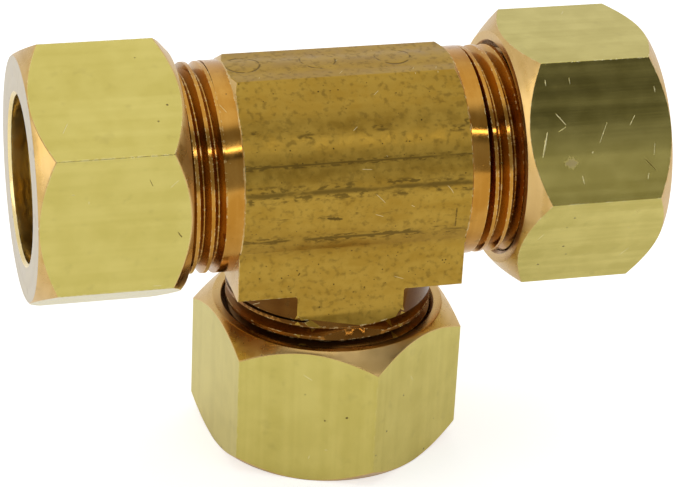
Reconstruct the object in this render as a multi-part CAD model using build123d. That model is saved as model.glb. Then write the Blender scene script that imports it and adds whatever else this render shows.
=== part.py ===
"""Compression union tee: a threaded brass body, three hexagon nuts and three ferrules.

Frame: millimetres, +X along the run, +Y to the back, +Z up.  The origin is the centre of
the branch nut's outer face, on which the fitting stands.  Each port is built along its own
+Z (outward from the tee's centre) with angle 0 facing the front (-Y), then turned into place.
"""
import os
from math import acos, atan2, cos, radians, sin, sqrt, tan

from build123d import *

# ---- tube and the bores round it -----------------------------------------------------
TUBE_DIAMETER = 15.875            # 5/8 in tube
SOCKET_CLEARANCE = 0.09           # radial, tube in the body's socket
FERRULE_CLEARANCE = 0.06          # radial, tube in the ferrule
NUT_HOLE_CLEARANCE = 0.21         # radial, tube in the nut's end wall
TUBE_STOP_HEIGHT = 1.5875         # radial, shoulder the tube's end stops against
SOCKET_DEPTH = 9.4                # spigot's end face to the tube stop

# ---- screw thread, 13/16-18 on the 5/8 in tube -------------------------------------------
THREAD_WALL = 2.3825              # tube's surface to the body's thread crest
THREAD_PITCH = 25.4 / 18
THREAD_DEPTH_SHARE = 0.602362     # of the pitch, crest to root on the body
THREAD_CREST_SHARE = 0.240945     # of the pitch, flat on the body's crest
THREAD_FLANK_ANGLE = 30.0         # degrees, each side
THREAD_CREST_GAP = 0.12           # radial, body crest to nut root
THREAD_ROOT_GAP = 0.20            # radial, body root to nut crest
THREAD_FLANK_GAP = 0.11           # along the axis, at each flank
CUTTER_OVERRUN = 0.25             # cutter past the surface it starts from
RIB_SHOWING = 0.2                 # least share of a thread rib that stands out of its core
SEAM_STEP = 35                    # degrees

# ---- body ------------------------------------------------------------------------------
BODY_END_MARGIN = 0.98            # branch thread's crest to the body's end face
BODY_STOCK = 0.13                 # rounded section, over the thread's crest
TOP_FLAT_DROP = 0.15              # flat on top, under the rounded section's radius
TOP_WIDTH = 7.0                   # flat on top, front to back
LEG_INSET = 1.58                  # leg's face, inside the rounded section's radius
LEG_HOLLOW_RADIUS = 2.5           # between the rounded section and the leg
WAIST_LENGTH = 1.95               # leg's underside to where the waist starts to flare
FLARE_LENGTH = 3.1                # waist to the spigot's full thickness

# ---- spigots ---------------------------------------------------------------------------
SPIGOT_LENGTH = 9.88              # body's end face to the spigot's end face
SPIGOT_LAND = 1.6                 # plain part between the body and the first groove
SPIGOT_LAND_STEP = 0.04           # plain part's radius over the thread's crest
SPIGOT_END_CHAMFER = 0.75
SEAT_ANGLE = 20.0                 # degrees from the axis: body seat, ferrule, nut seat
SEAT_MOUTH_CLEARANCE = 0.14       # radial, ferrule in the seat's mouth at the spigot's end face

# ---- ferrule ---------------------------------------------------------------------------
FERRULE_LENGTH = 7.5
FERRULE_WALL = 1.0425             # tube's surface to the ferrule's outside
FERRULE_END_WALL = 0.45           # wall left at each coned end

# ---- nut -------------------------------------------------------------------------------
NUT_WALL = 1.58625                # thread's crest to the hexagon's flat; 15/16 in across flats
NUT_EDGE_LENGTH = 11.03           # hexagon corner between the two chamfers
NUT_CHAMFER_ANGLE = 42.0          # degrees from the end face
NUT_OUTER_FACE_INSET = 0.05625    # outer end face, inside the flats
NUT_INNER_FACE_INSET = 0.30625    # threaded end face, inside the flats
NUT_END_WALL = 1.45               # from the outer face to the coned seat
NUT_HOLE_CHAMFER = 0.3
NUT_MOUTH_CHAMFER = 0.31          # radial, past the nut thread's root
NUT_THREAD_LENGTH = 8.6           # threaded end to the last groove
FERRULE_SEAT_GAP = 0.05           # along the axis, at the nut's seat and the body's

# ---- rest position of the nuts -----------------------------------------------------------
RUN_NUT_TURNS = 1.25              # turns back from home
BRANCH_NUT_TURNS = 7 / 12
LEFT_HEX_ANGLE = 31.4             # a corner, from the front about the outward axis
RIGHT_HEX_ANGLE = 0.3
BRANCH_HEX_ANGLE = 52.3
LEFT_RIDGE_DISTANCE = 14.20       # tee's centre to where the ridge passes the front
RIGHT_RIDGE_DISTANCE = 15.09
BRANCH_RIDGE_DISTANCE = 14.60

# ---- derived sizes -----------------------------------------------------------------------
SEAT_SLOPE = tan(radians(SEAT_ANGLE))
FLANK_SLOPE = tan(radians(THREAD_FLANK_ANGLE))
CHAMFER_SLOPE = tan(radians(NUT_CHAMFER_ANGLE))

TUBE_RADIUS = TUBE_DIAMETER / 2
SOCKET_RADIUS = TUBE_RADIUS + SOCKET_CLEARANCE
NUT_HOLE_RADIUS = TUBE_RADIUS + NUT_HOLE_CLEARANCE
THROUGH_BORE_RADIUS = TUBE_RADIUS - TUBE_STOP_HEIGHT

THREAD_DEPTH = THREAD_DEPTH_SHARE * THREAD_PITCH
THREAD_CREST_FLAT = THREAD_CREST_SHARE * THREAD_PITCH
THREAD_MAJOR_RADIUS = TUBE_RADIUS + THREAD_WALL
THREAD_ROOT_RADIUS = THREAD_MAJOR_RADIUS - THREAD_DEPTH
NUT_MINOR_RADIUS = THREAD_ROOT_RADIUS + THREAD_ROOT_GAP
NUT_MAJOR_RADIUS = THREAD_MAJOR_RADIUS + THREAD_CREST_GAP
NUT_GROOVE_FLAT = THREAD_CREST_FLAT + 2 * (THREAD_FLANK_GAP - THREAD_CREST_GAP * FLANK_SLOPE)

BODY_HALF_LENGTH = THREAD_MAJOR_RADIUS + BODY_END_MARGIN
BODY_RADIUS = THREAD_MAJOR_RADIUS + BODY_STOCK
TOP_HEIGHT = BODY_RADIUS - TOP_FLAT_DROP
LEG_DEPTH = BODY_RADIUS
LEG_THICKNESS = 2 * (BODY_RADIUS - LEG_INSET)
WAIST_DEPTH = LEG_DEPTH + WAIST_LENGTH
SPIGOT_END = BODY_HALF_LENGTH + SPIGOT_LENGTH
SPIGOT_LAND_RADIUS = THREAD_MAJOR_RADIUS + SPIGOT_LAND_STEP
SPIGOT_THREAD_START = BODY_HALF_LENGTH + SPIGOT_LAND
SPIGOT_CHAMFER_START = SPIGOT_END - 2 * SPIGOT_END_CHAMFER - SPIGOT_LAND_STEP

FERRULE_RADIUS = TUBE_RADIUS + FERRULE_WALL
FERRULE_BORE_RADIUS = TUBE_RADIUS + FERRULE_CLEARANCE
FERRULE_END_RADIUS = FERRULE_BORE_RADIUS + FERRULE_END_WALL
FERRULE_CONE_LENGTH = (FERRULE_RADIUS - FERRULE_END_RADIUS) / SEAT_SLOPE
SEAT_MOUTH_RADIUS = FERRULE_RADIUS + SEAT_MOUTH_CLEARANCE

NUT_FLAT_RADIUS = THREAD_MAJOR_RADIUS + NUT_WALL
NUT_CORNER_RADIUS = 2 * NUT_FLAT_RADIUS / sqrt(3)
NUT_OUTER_FACE_RADIUS = NUT_FLAT_RADIUS - NUT_OUTER_FACE_INSET
NUT_INNER_FACE_RADIUS = NUT_FLAT_RADIUS - NUT_INNER_FACE_INSET
NUT_MOUTH_RADIUS = NUT_MAJOR_RADIUS + NUT_MOUTH_CHAMFER
NUT_OUTER_CHAMFER = (NUT_CORNER_RADIUS - NUT_OUTER_FACE_RADIUS) * CHAMFER_SLOPE
NUT_INNER_CHAMFER = (NUT_CORNER_RADIUS - NUT_INNER_FACE_RADIUS) * CHAMFER_SLOPE
NUT_LENGTH = NUT_INNER_CHAMFER + NUT_EDGE_LENGTH + NUT_OUTER_CHAMFER
NUT_SEAT_END = NUT_LENGTH - NUT_END_WALL
NUT_SEAT_START = NUT_SEAT_END - (NUT_MINOR_RADIUS - NUT_HOLE_RADIUS) / SEAT_SLOPE

# Nut's threaded end to the ferrule's outer end, and the ferrule's inner end at home.
FERRULE_STOP = NUT_SEAT_END - (FERRULE_END_RADIUS - NUT_HOLE_RADIUS) / SEAT_SLOPE - FERRULE_SEAT_GAP
FERRULE_HOME = SPIGOT_END - (SEAT_MOUTH_RADIUS - FERRULE_END_RADIUS) / SEAT_SLOPE + FERRULE_SEAT_GAP
NUT_HOME = FERRULE_HOME + FERRULE_LENGTH - FERRULE_STOP
RUN_NUT_DISTANCE = NUT_HOME + RUN_NUT_TURNS * THREAD_PITCH
BRANCH_NUT_DISTANCE = NUT_HOME + BRANCH_NUT_TURNS * THREAD_PITCH
RUN_AXIS_HEIGHT = BRANCH_NUT_DISTANCE + NUT_LENGTH

CENTRE = (0, 0, RUN_AXIS_HEIGHT)
FRONT = (0, -1, 0)
LEFT_PORT = Plane(origin=CENTRE, x_dir=FRONT, z_dir=(-1, 0, 0))
RIGHT_PORT = Plane(origin=CENTRE, x_dir=FRONT, z_dir=(1, 0, 0))
BRANCH_PORT = Plane(origin=CENTRE, x_dir=FRONT, z_dir=(0, 0, -1))


def turned(points):
    """Solid turned about the port axis from (radius, distance) points."""
    outline = Polyline([(radius, 0, distance) for radius, distance in points], close=True)
    return revolve(make_face(outline), Axis.Z, 360)


def helical_rib(tip_radius, tip_width, base_radius, start, end, front_distance):
    """Right-hand helical rib, tip_width wide at its tip and wider towards base_radius.

    Its middle passes the front at front_distance from the tee's centre.
    """
    half_tip = tip_width / 2
    half_base = half_tip + abs(tip_radius - base_radius) * FLANK_SLOPE
    corners = [
        (base_radius, 0, -half_base),
        (tip_radius, 0, -half_tip),
        (tip_radius, 0, half_tip),
        (base_radius, 0, half_base),
    ]
    outline = Polyline(corners, close=True)
    path = Helix(pitch=THREAD_PITCH, height=end - start, radius=tip_radius)
    rib = sweep(make_face(outline), path=path, is_frenet=True)
    start_angle = 360 * (start - front_distance) / THREAD_PITCH
    return Pos(0, 0, start) * Rot(0, 0, start_angle) * rib


def join_rib(core, rib):
    """Join a helical rib to a turned core, whose seam is turned until the two close up."""
    for seam_angle in range(0, 360, SEAM_STEP):
        joined = Rot(0, 0, seam_angle) * core + rib
        gain = joined.volume - core.volume
        if gain > RIB_SHOWING * rib.volume and len(joined.solids()) == 1 and joined.is_valid:
            return joined
    raise ValueError("the thread did not join its core")


def make_spigot(ridge_distance):
    """Threaded spigot from inside the body to its end face, not yet bored."""
    root = BODY_HALF_LENGTH - SPIGOT_LAND
    past_end = SPIGOT_END + THREAD_PITCH
    core = turned([
        (0, root),
        (SPIGOT_LAND_RADIUS, root),
        (SPIGOT_LAND_RADIUS, SPIGOT_THREAD_START),
        (THREAD_ROOT_RADIUS, SPIGOT_THREAD_START),
        (THREAD_ROOT_RADIUS, past_end),
        (0, past_end),
    ])
    ridge = helical_rib(
        THREAD_MAJOR_RADIUS,
        THREAD_CREST_FLAT,
        THREAD_ROOT_RADIUS - CUTTER_OVERRUN,
        SPIGOT_THREAD_START - THREAD_PITCH / 2,
        past_end,
        ridge_distance,
    )
    envelope = turned([
        (0, root),
        (SPIGOT_LAND_RADIUS + SPIGOT_END_CHAMFER, root),
        (SPIGOT_LAND_RADIUS + SPIGOT_END_CHAMFER, SPIGOT_CHAMFER_START),
        (THREAD_MAJOR_RADIUS - SPIGOT_END_CHAMFER, SPIGOT_END),
        (0, SPIGOT_END),
    ])
    return join_rib(core, ridge) & envelope


def make_waist_cutter():
    """Tool for the hollow that narrows the branch spigot behind the leg, back and front."""
    half = LEG_THICKNESS / 2
    full = THREAD_MAJOR_RADIUS + CUTTER_OVERRUN
    flare_end = WAIST_DEPTH + FLARE_LENGTH * (full - half) / (THREAD_MAJOR_RADIUS - half)
    side = Polyline(
        [(0, -half, 0), (0, -half, -WAIST_DEPTH), (0, -full, -flare_end), (0, -full, 0)],
        close=True,
    )
    front = extrude(make_face(side), amount=BODY_HALF_LENGTH, both=True)
    return Pos(CENTRE) * (front + mirror(front, Plane.XZ))


def make_body_section():
    """Cross-section of the extrusion: rounded run with a flat top, and the leg below it."""
    corner_angle = atan2(TOP_WIDTH / 2, TOP_HEIGHT)
    corner_radius = sqrt((TOP_WIDTH / 2) ** 2 + TOP_HEIGHT ** 2)
    touch_angle = corner_angle + acos(BODY_RADIUS / corner_radius)
    touch = (BODY_RADIUS * sin(touch_angle), BODY_RADIUS * cos(touch_angle))
    touch_back = (-touch[0], touch[1])
    pad = Polyline(
        [(0, 0), touch, (TOP_WIDTH / 2, TOP_HEIGHT), (-TOP_WIDTH / 2, TOP_HEIGHT), touch_back],
        close=True,
    )
    leg = Pos(0, -LEG_DEPTH / 2) * Rectangle(LEG_THICKNESS, LEG_DEPTH)
    section = Circle(BODY_RADIUS) + make_face(pad) + leg
    join_height = -sqrt(BODY_RADIUS ** 2 - (LEG_THICKNESS / 2) ** 2)
    corners = [v for v in section.vertices() if abs(v.Y - join_height) < CUTTER_OVERRUN]
    return fillet(corners, LEG_HOLLOW_RADIUS)


def make_end_cutter():
    """Tool that turns the corner off the body's end, clear of the leg, along a port axis."""
    inner = THREAD_MAJOR_RADIUS - CUTTER_OVERRUN
    outer = inner + BODY_RADIUS
    past_end = BODY_HALF_LENGTH + CUTTER_OVERRUN
    return turned([(inner, past_end), (outer, past_end), (outer, past_end - BODY_RADIUS)])


def make_port_bore():
    """Tool for one port's waterway, tube socket and coned seat."""
    stop = SPIGOT_END - SOCKET_DEPTH
    seat_start = SPIGOT_END - (SEAT_MOUTH_RADIUS - SOCKET_RADIUS) / SEAT_SLOPE
    past_end = SPIGOT_END + CUTTER_OVERRUN
    past_radius = SEAT_MOUTH_RADIUS + CUTTER_OVERRUN * SEAT_SLOPE
    return turned([
        (0, 0),
        (THROUGH_BORE_RADIUS, 0),
        (THROUGH_BORE_RADIUS, stop),
        (SOCKET_RADIUS, stop),
        (SOCKET_RADIUS, seat_start),
        (past_radius, past_end),
        (0, past_end),
    ])


def make_tee_body():
    """Extruded body with its turned ends, three threaded spigots and three bores."""
    section = Plane(origin=CENTRE, x_dir=(0, 1, 0), z_dir=(1, 0, 0)) * make_body_section()
    body = extrude(section, amount=BODY_HALF_LENGTH, both=True)
    leg_guard = Pos(0, 0, RUN_AXIS_HEIGHT - LEG_DEPTH) * Box(
        4 * BODY_HALF_LENGTH, 4 * BODY_RADIUS, LEG_DEPTH
    )
    end_cutter = make_end_cutter()
    for port in (LEFT_PORT, RIGHT_PORT):
        body -= port * end_cutter - leg_guard
    body += LEFT_PORT * make_spigot(LEFT_RIDGE_DISTANCE)
    body += RIGHT_PORT * make_spigot(RIGHT_RIDGE_DISTANCE)
    body += BRANCH_PORT * make_spigot(BRANCH_RIDGE_DISTANCE) - make_waist_cutter()
    for port in (LEFT_PORT, RIGHT_PORT, BRANCH_PORT):
        body -= port * make_port_bore()
    return body


def make_nut_blank(hex_angle):
    """Hexagon with both ends chamfered, threaded end at distance 0."""
    hexagon = Rot(0, 0, hex_angle) * RegularPolygon(NUT_CORNER_RADIUS, 6)
    prism = extrude(hexagon, amount=NUT_LENGTH)
    reach = NUT_CORNER_RADIUS
    drop = (reach - NUT_INNER_FACE_RADIUS + CUTTER_OVERRUN) * CHAMFER_SLOPE
    rise = (reach - NUT_OUTER_FACE_RADIUS + CUTTER_OVERRUN) * CHAMFER_SLOPE
    envelope = turned([
        (0, 0),
        (NUT_INNER_FACE_RADIUS, 0),
        (reach + CUTTER_OVERRUN, drop),
        (reach + CUTTER_OVERRUN, NUT_LENGTH - rise),
        (NUT_OUTER_FACE_RADIUS, NUT_LENGTH),
        (0, NUT_LENGTH),
    ])
    return prism & envelope


def make_nut(hex_angle, distance, ridge_distance):
    """Nut with its threaded end at distance from the tee's centre, in mesh with the spigot."""
    before_mouth = THREAD_PITCH
    past_end = NUT_LENGTH + CUTTER_OVERRUN
    bore = turned([
        (0, -before_mouth),
        (NUT_MOUTH_RADIUS + before_mouth, -before_mouth),
        (NUT_MINOR_RADIUS, NUT_MOUTH_RADIUS - NUT_MINOR_RADIUS),
        (NUT_MINOR_RADIUS, NUT_SEAT_START),
        (NUT_HOLE_RADIUS, NUT_SEAT_END),
        (NUT_HOLE_RADIUS, NUT_LENGTH - NUT_HOLE_CHAMFER),
        (NUT_HOLE_RADIUS + NUT_HOLE_CHAMFER + CUTTER_OVERRUN, past_end),
        (0, past_end),
    ])
    groove = helical_rib(
        NUT_MAJOR_RADIUS,
        NUT_GROOVE_FLAT,
        NUT_MINOR_RADIUS - CUTTER_OVERRUN,
        distance - THREAD_PITCH / 2,
        distance + NUT_THREAD_LENGTH,
        ridge_distance,
    )
    place = Pos(0, 0, distance)
    return place * make_nut_blank(hex_angle) - join_rib(place * bore, groove)


def make_ferrule(nut_distance):
    """Sleeve coned at both ends, resting in the seat of the nut at nut_distance."""
    outer_end = nut_distance + FERRULE_STOP
    inner_end = outer_end - FERRULE_LENGTH
    return turned([
        (FERRULE_BORE_RADIUS, inner_end),
        (FERRULE_END_RADIUS, inner_end),
        (FERRULE_RADIUS, inner_end + FERRULE_CONE_LENGTH),
        (FERRULE_RADIUS, outer_end - FERRULE_CONE_LENGTH),
        (FERRULE_END_RADIUS, outer_end),
        (FERRULE_BORE_RADIUS, outer_end),
    ])


def make_parts():
    """Every piece by name, in its rest position."""
    return {
        "tee_body": make_tee_body(),
        "left_nut": LEFT_PORT * make_nut(LEFT_HEX_ANGLE, RUN_NUT_DISTANCE, LEFT_RIDGE_DISTANCE),
        "right_nut": RIGHT_PORT * make_nut(RIGHT_HEX_ANGLE, RUN_NUT_DISTANCE, RIGHT_RIDGE_DISTANCE),
        "branch_nut": BRANCH_PORT * make_nut(BRANCH_HEX_ANGLE, BRANCH_NUT_DISTANCE, BRANCH_RIDGE_DISTANCE),
        "left_ferrule": LEFT_PORT * make_ferrule(RUN_NUT_DISTANCE),
        "right_ferrule": RIGHT_PORT * make_ferrule(RUN_NUT_DISTANCE),
        "branch_ferrule": BRANCH_PORT * make_ferrule(BRANCH_NUT_DISTANCE),
    }


os.makedirs("parts", exist_ok=True)
for name, solid in make_parts().items():
    solid.label = name
    export_step(solid, os.path.join("parts", name + ".step"))
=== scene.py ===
"""Brass compression union tee: finishes for its pieces, and a plain studio round it.

Metres, +X along the run, +Y to the back, +Z up.  The fitting stands on the branch nut's outer
face.  Every finish is worked out in port axes, in millimetres: x to the front, z outward.
"""

import logging
from dataclasses import dataclass, replace
from enum import Enum
from math import cos, radians, sin

import bmesh
import bpy
from mathutils import Matrix, Vector


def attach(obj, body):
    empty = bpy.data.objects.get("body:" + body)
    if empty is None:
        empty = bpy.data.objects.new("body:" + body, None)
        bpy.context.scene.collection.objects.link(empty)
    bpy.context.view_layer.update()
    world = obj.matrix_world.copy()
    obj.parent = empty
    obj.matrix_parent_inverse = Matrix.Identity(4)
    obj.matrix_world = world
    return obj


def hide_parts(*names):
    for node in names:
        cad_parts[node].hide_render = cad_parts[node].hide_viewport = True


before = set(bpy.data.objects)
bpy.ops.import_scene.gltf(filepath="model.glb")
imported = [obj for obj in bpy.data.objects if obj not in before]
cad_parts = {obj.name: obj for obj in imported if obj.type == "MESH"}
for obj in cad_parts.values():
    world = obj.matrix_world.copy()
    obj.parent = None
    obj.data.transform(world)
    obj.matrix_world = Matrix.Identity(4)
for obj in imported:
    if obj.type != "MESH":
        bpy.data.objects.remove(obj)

LOG = logging.getLogger("tee")
MM = 0.001
RUN_AXIS_HEIGHT = 30.0297 * MM
CENTRE = Vector((0.0, 0.0, RUN_AXIS_HEIGHT))
FRONT = Vector((0.0, -1.0, 0.0))
BRANCH_NUT_START = 15.3564 * MM

Colour = tuple[float, float, float]
Socket = bpy.types.NodeSocket
Value = Socket | float | tuple[float, ...] | None


# ---- ports ----


class Port(Enum):
    """The tee's three ports, each with the direction it faces."""

    LEFT = (-1.0, 0.0, 0.0)
    RIGHT = (1.0, 0.0, 0.0)
    BRANCH = (0.0, 0.0, -1.0)

    @property
    def outward(self) -> Vector:
        """Direction out of the port."""
        return Vector(self.value)

    def turn(self) -> Matrix:
        """Rotation from port axes to the fitting's axes."""
        side = self.outward.cross(FRONT)
        return Matrix((FRONT, side, self.outward)).transposed()

    def distance(self, point: Vector) -> float:
        """Distance of a point from the tee's centre, along the port axis."""
        return (point - CENTRE).dot(self.outward)

    def radius(self, point: Vector) -> float:
        """Distance of a point from the port axis."""
        offset = point - CENTRE
        return (offset - self.outward * offset.dot(self.outward)).length

    def away(self, point: Vector) -> Vector:
        """Unit vector from the port axis to a point."""
        offset = point - CENTRE
        return (offset - self.outward * offset.dot(self.outward)).normalized()


# ---- shader wiring ----


class Desk:
    """Adds shader nodes to one tree and joins them."""

    def __init__(self, tree: bpy.types.NodeTree) -> None:
        """Work on a tree.

        Args:
            tree: the node tree to add to.
        """
        self.tree = tree

    def add(self, kind: str, *values: Value, **settings: object) -> bpy.types.Node:
        """Add a node.

        Args:
            kind: the node's type name.
            *values: its inputs in order, None for one left alone.
            **settings: node properties to set.

        Returns:
            The new node.
        """
        node = self.tree.nodes.new(kind)
        for key, value in settings.items():
            setattr(node, key, value)
        for socket, value in zip(node.inputs, values):
            self.feed(socket, value)
        return node

    def feed(self, socket: Socket, value: Value) -> None:
        """Link a socket to another, or set its value.

        Args:
            socket: the input to fill.
            value: an output socket, a plain value, or None to leave the input alone.
        """
        if isinstance(value, bpy.types.NodeSocket):
            self.tree.links.new(value, socket)
        elif value is not None:
            socket.default_value = value

    def math(self, operation: str, *values: Value, clamp: bool = False) -> Socket:
        """The result of one arithmetic step, kept from 0 to 1 where it is clamped."""
        node = self.add("ShaderNodeMath", *values, operation=operation, use_clamp=clamp)
        return node.outputs[0]

    def times(self, first: Value, second: Value) -> Socket:
        """Multiply two numbers."""
        return self.math("MULTIPLY", first, second)

    def vector(self, operation: str, *values: Value) -> Socket:
        """Join vectors by one step.

        Args:
            operation: the Vector Math node's operation.
            *values: its inputs in order.

        Returns:
            The resulting vector, or number for a dot product or a length.
        """
        node = self.add("ShaderNodeVectorMath", *values, operation=operation)
        gives_number = operation in ("DOT_PRODUCT", "LENGTH", "DISTANCE")
        return node.outputs["Value" if gives_number else "Vector"]

    def scaled(self, vector: Value, factor: Value) -> Socket:
        """Multiply a vector by a number."""
        return self.vector("SCALE", vector, None, None, factor)

    def split(self, vector: Value) -> tuple[Socket, Socket, Socket]:
        """The x, y and z of a vector."""
        return tuple(self.add("ShaderNodeSeparateXYZ", vector).outputs)

    def join(self, x: Value, y: Value, z: Value) -> Socket:
        """The vector of three numbers."""
        return self.add("ShaderNodeCombineXYZ", x, y, z).outputs[0]

    def noise(self, vector: Value, scale: Value, detail: float = 3.0, w: Value = None) -> Socket:
        """Smooth random value over space, with w as a fourth coordinate where it is given."""
        kind = "3D" if w is None else "4D"
        node = self.add("ShaderNodeTexNoise", vector, w, scale, detail, noise_dimensions=kind)
        return node.outputs["Fac"]

    def cells(self, vector: Value, scale: Value) -> bpy.types.Node:
        """Random cells over space, by how many go to a unit."""
        return self.add("ShaderNodeTexVoronoi", vector, None, scale)

    def step(self, value: Value, low: Value, high: Value) -> Socket:
        """Smooth step from 0 at the low value to 1 at the high one."""
        node = self.add("ShaderNodeMapRange", value, low, high, interpolation_type="SMOOTHSTEP")
        return node.outputs["Result"]

    def within(self, value: Value, width: Value) -> Socket:
        """Soft mask that is 1 where a number is near 0.

        Args:
            value: the number, either sign.
            width: how far from 0 the mask ends.

        Returns:
            A number from 0 to 1.
        """
        size = self.math("ABSOLUTE", value)
        return self.math("SUBTRACT", 1.0, self.math("DIVIDE", size, width, clamp=True), clamp=True)

    def blend(self, factor: Value, first: Value, second: Value) -> Socket:
        """Blend two colours.

        Args:
            factor: share of the second.
            first: a colour with alpha, or a socket.
            second: a colour with alpha, or a socket.

        Returns:
            The blended colour.
        """
        node = self.add("ShaderNodeMix", data_type="RGBA", clamp_factor=True)
        self.feed(node.inputs[0], factor)
        self.feed(node.inputs[6], first)
        self.feed(node.inputs[7], second)
        return node.outputs[2]


def opaque(colour: Colour) -> tuple[float, float, float, float]:
    """The colour with full alpha."""
    return (*colour, 1.0)


# ---- shared effects ----


class Effect:
    """A surface effect kept as a shader node group, drawn once and placed with its own values.

    It takes numbers, by their starting value, and vectors, which have None.
    """

    title = ""
    takes: dict[str, float | None] = {}
    gives: tuple[str, ...] = ("Mask",)

    def draw(self, desk: Desk, given: dict[str, Socket]) -> dict[str, Socket]:
        """Draw the group's inside.

        Args:
            desk: the group's desk.
            given: the group's inputs by name.

        Returns:
            The results by output name.
        """
        raise NotImplementedError

    def tree(self) -> bpy.types.NodeTree:
        """The group's tree, made the first time.

        Returns:
            The node tree.
        """
        found = bpy.data.node_groups.get(self.title)
        if found:
            return found
        tree = bpy.data.node_groups.new(self.title, "ShaderNodeTree")
        for name, start in self.takes.items():
            kind = "NodeSocketVector" if start is None else "NodeSocketFloat"
            socket = tree.interface.new_socket(name=name, in_out="INPUT", socket_type=kind)
            if start is not None:
                socket.default_value = start
        for name in self.gives:
            tree.interface.new_socket(name=name, in_out="OUTPUT", socket_type="NodeSocketFloat")
        desk = Desk(tree)
        entry = desk.add("NodeGroupInput")
        leave = desk.add("NodeGroupOutput")
        results = self.draw(desk, {name: entry.outputs[name] for name in self.takes})
        for name in self.gives:
            desk.feed(leave.inputs[name], results[name])
        return tree

    def place(self, desk: Desk, **values: Value) -> dict[str, Socket]:
        """Put the group in a material.

        Args:
            desk: the material's desk.
            **values: group inputs, with underscores for spaces.

        Returns:
            The group's outputs by name.
        """
        node = desk.add("ShaderNodeGroup", node_tree=self.tree())
        for name, value in values.items():
            desk.feed(node.inputs[name.replace("_", " ")], value)
        return {name: node.outputs[name] for name in self.gives}

    def mask(self, desk: Desk, **values: Value) -> Socket:
        """Put the group in a material for its mask alone."""
        return self.place(desk, **values)["Mask"]


class TurnedRings(Effect):
    """Lathe marks: rings about the port axis."""

    title = "Turned rings"
    takes = {"Point": None, "Rings per mm": 6.0}
    gives = ("Height", "Tone")
    drift = 0.05
    broad_share = 0.16
    octaves = 2.0

    def draw(self, desk: Desk, given: dict[str, Socket]) -> dict[str, Socket]:
        """See Effect.draw.

        Args:
            desk: the group's desk.
            given: the group's inputs by name.

        Returns:
            Fine rings, and broad bands.
        """
        x, y, z = desk.split(given["Point"])
        radius = desk.vector("LENGTH", desk.join(x, y, 0.0))
        place = desk.join(radius, z, desk.times(x, self.drift))
        turn = desk.times(y, self.drift)
        fine = desk.noise(place, given["Rings per mm"], self.octaves, turn)
        broad_scale = desk.times(given["Rings per mm"], self.broad_share)
        return {"Height": fine, "Tone": desk.noise(place, broad_scale, self.octaves, turn)}


class DrawnGrain(Effect):
    """Long fine lines along the port axis, left by a die."""

    title = "Drawn grain"
    takes = {"Point": None, "Lines per mm": 5.0, "Stretch": 30.0}
    gives = ("Height", "Tone")
    broad_share = 0.2
    fine_octaves = 4.0
    broad_octaves = 3.0

    def draw(self, desk: Desk, given: dict[str, Socket]) -> dict[str, Socket]:
        """See Effect.draw.

        Args:
            desk: the group's desk.
            given: the group's inputs by name.

        Returns:
            Fine lines, and broad streaks.
        """
        x, y, z = desk.split(given["Point"])
        place = desk.join(x, y, desk.math("DIVIDE", z, given["Stretch"]))
        broad_scale = desk.times(given["Lines per mm"], self.broad_share)
        return {
            "Height": desk.noise(place, given["Lines per mm"], self.fine_octaves),
            "Tone": desk.noise(place, broad_scale, self.broad_octaves),
        }


class Mottle(Effect):
    """Soft uneven patches."""

    title = "Mottle"
    takes = {"Point": None, "Patches per mm": 0.3, "Threshold": 0.5, "Softness": 0.15}
    octaves = 6.0

    def draw(self, desk: Desk, given: dict[str, Socket]) -> dict[str, Socket]:
        """See Effect.draw.

        Args:
            desk: the group's desk.
            given: the group's inputs by name.

        Returns:
            The patches' mask.
        """
        value = desk.noise(given["Point"], given["Patches per mm"], self.octaves)
        low = desk.math("SUBTRACT", given["Threshold"], given["Softness"])
        high = desk.math("ADD", given["Threshold"], given["Softness"])
        return {"Mask": desk.step(value, low, high)}


class Pits(Effect):
    """Scattered round specks."""

    title = "Pits"
    takes = {"Point": None, "Cells per mm": 1.0, "Share": 0.3, "Size": 0.2}
    ragged_per_mm = 9.0
    ragged_octaves = 2.0
    slope = 0.5

    def draw(self, desk: Desk, given: dict[str, Socket]) -> dict[str, Socket]:
        """See Effect.draw.

        Args:
            desk: the group's desk.
            given: the group's inputs by name.

        Returns:
            The specks' mask.
        """
        rough_edge = desk.noise(given["Point"], self.ragged_per_mm, self.ragged_octaves)
        cell = desk.cells(given["Point"], given["Cells per mm"])
        chosen, spread, _ = desk.split(cell.outputs["Color"])
        size = desk.times(given["Size"], desk.math("ADD", spread, rough_edge))
        inside = desk.math("SUBTRACT", 1.0, desk.math("DIVIDE", cell.outputs["Distance"], size))
        shown = desk.math("LESS_THAN", chosen, given["Share"])
        return {"Mask": desk.times(desk.step(inside, 0.0, self.slope), shown)}


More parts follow.
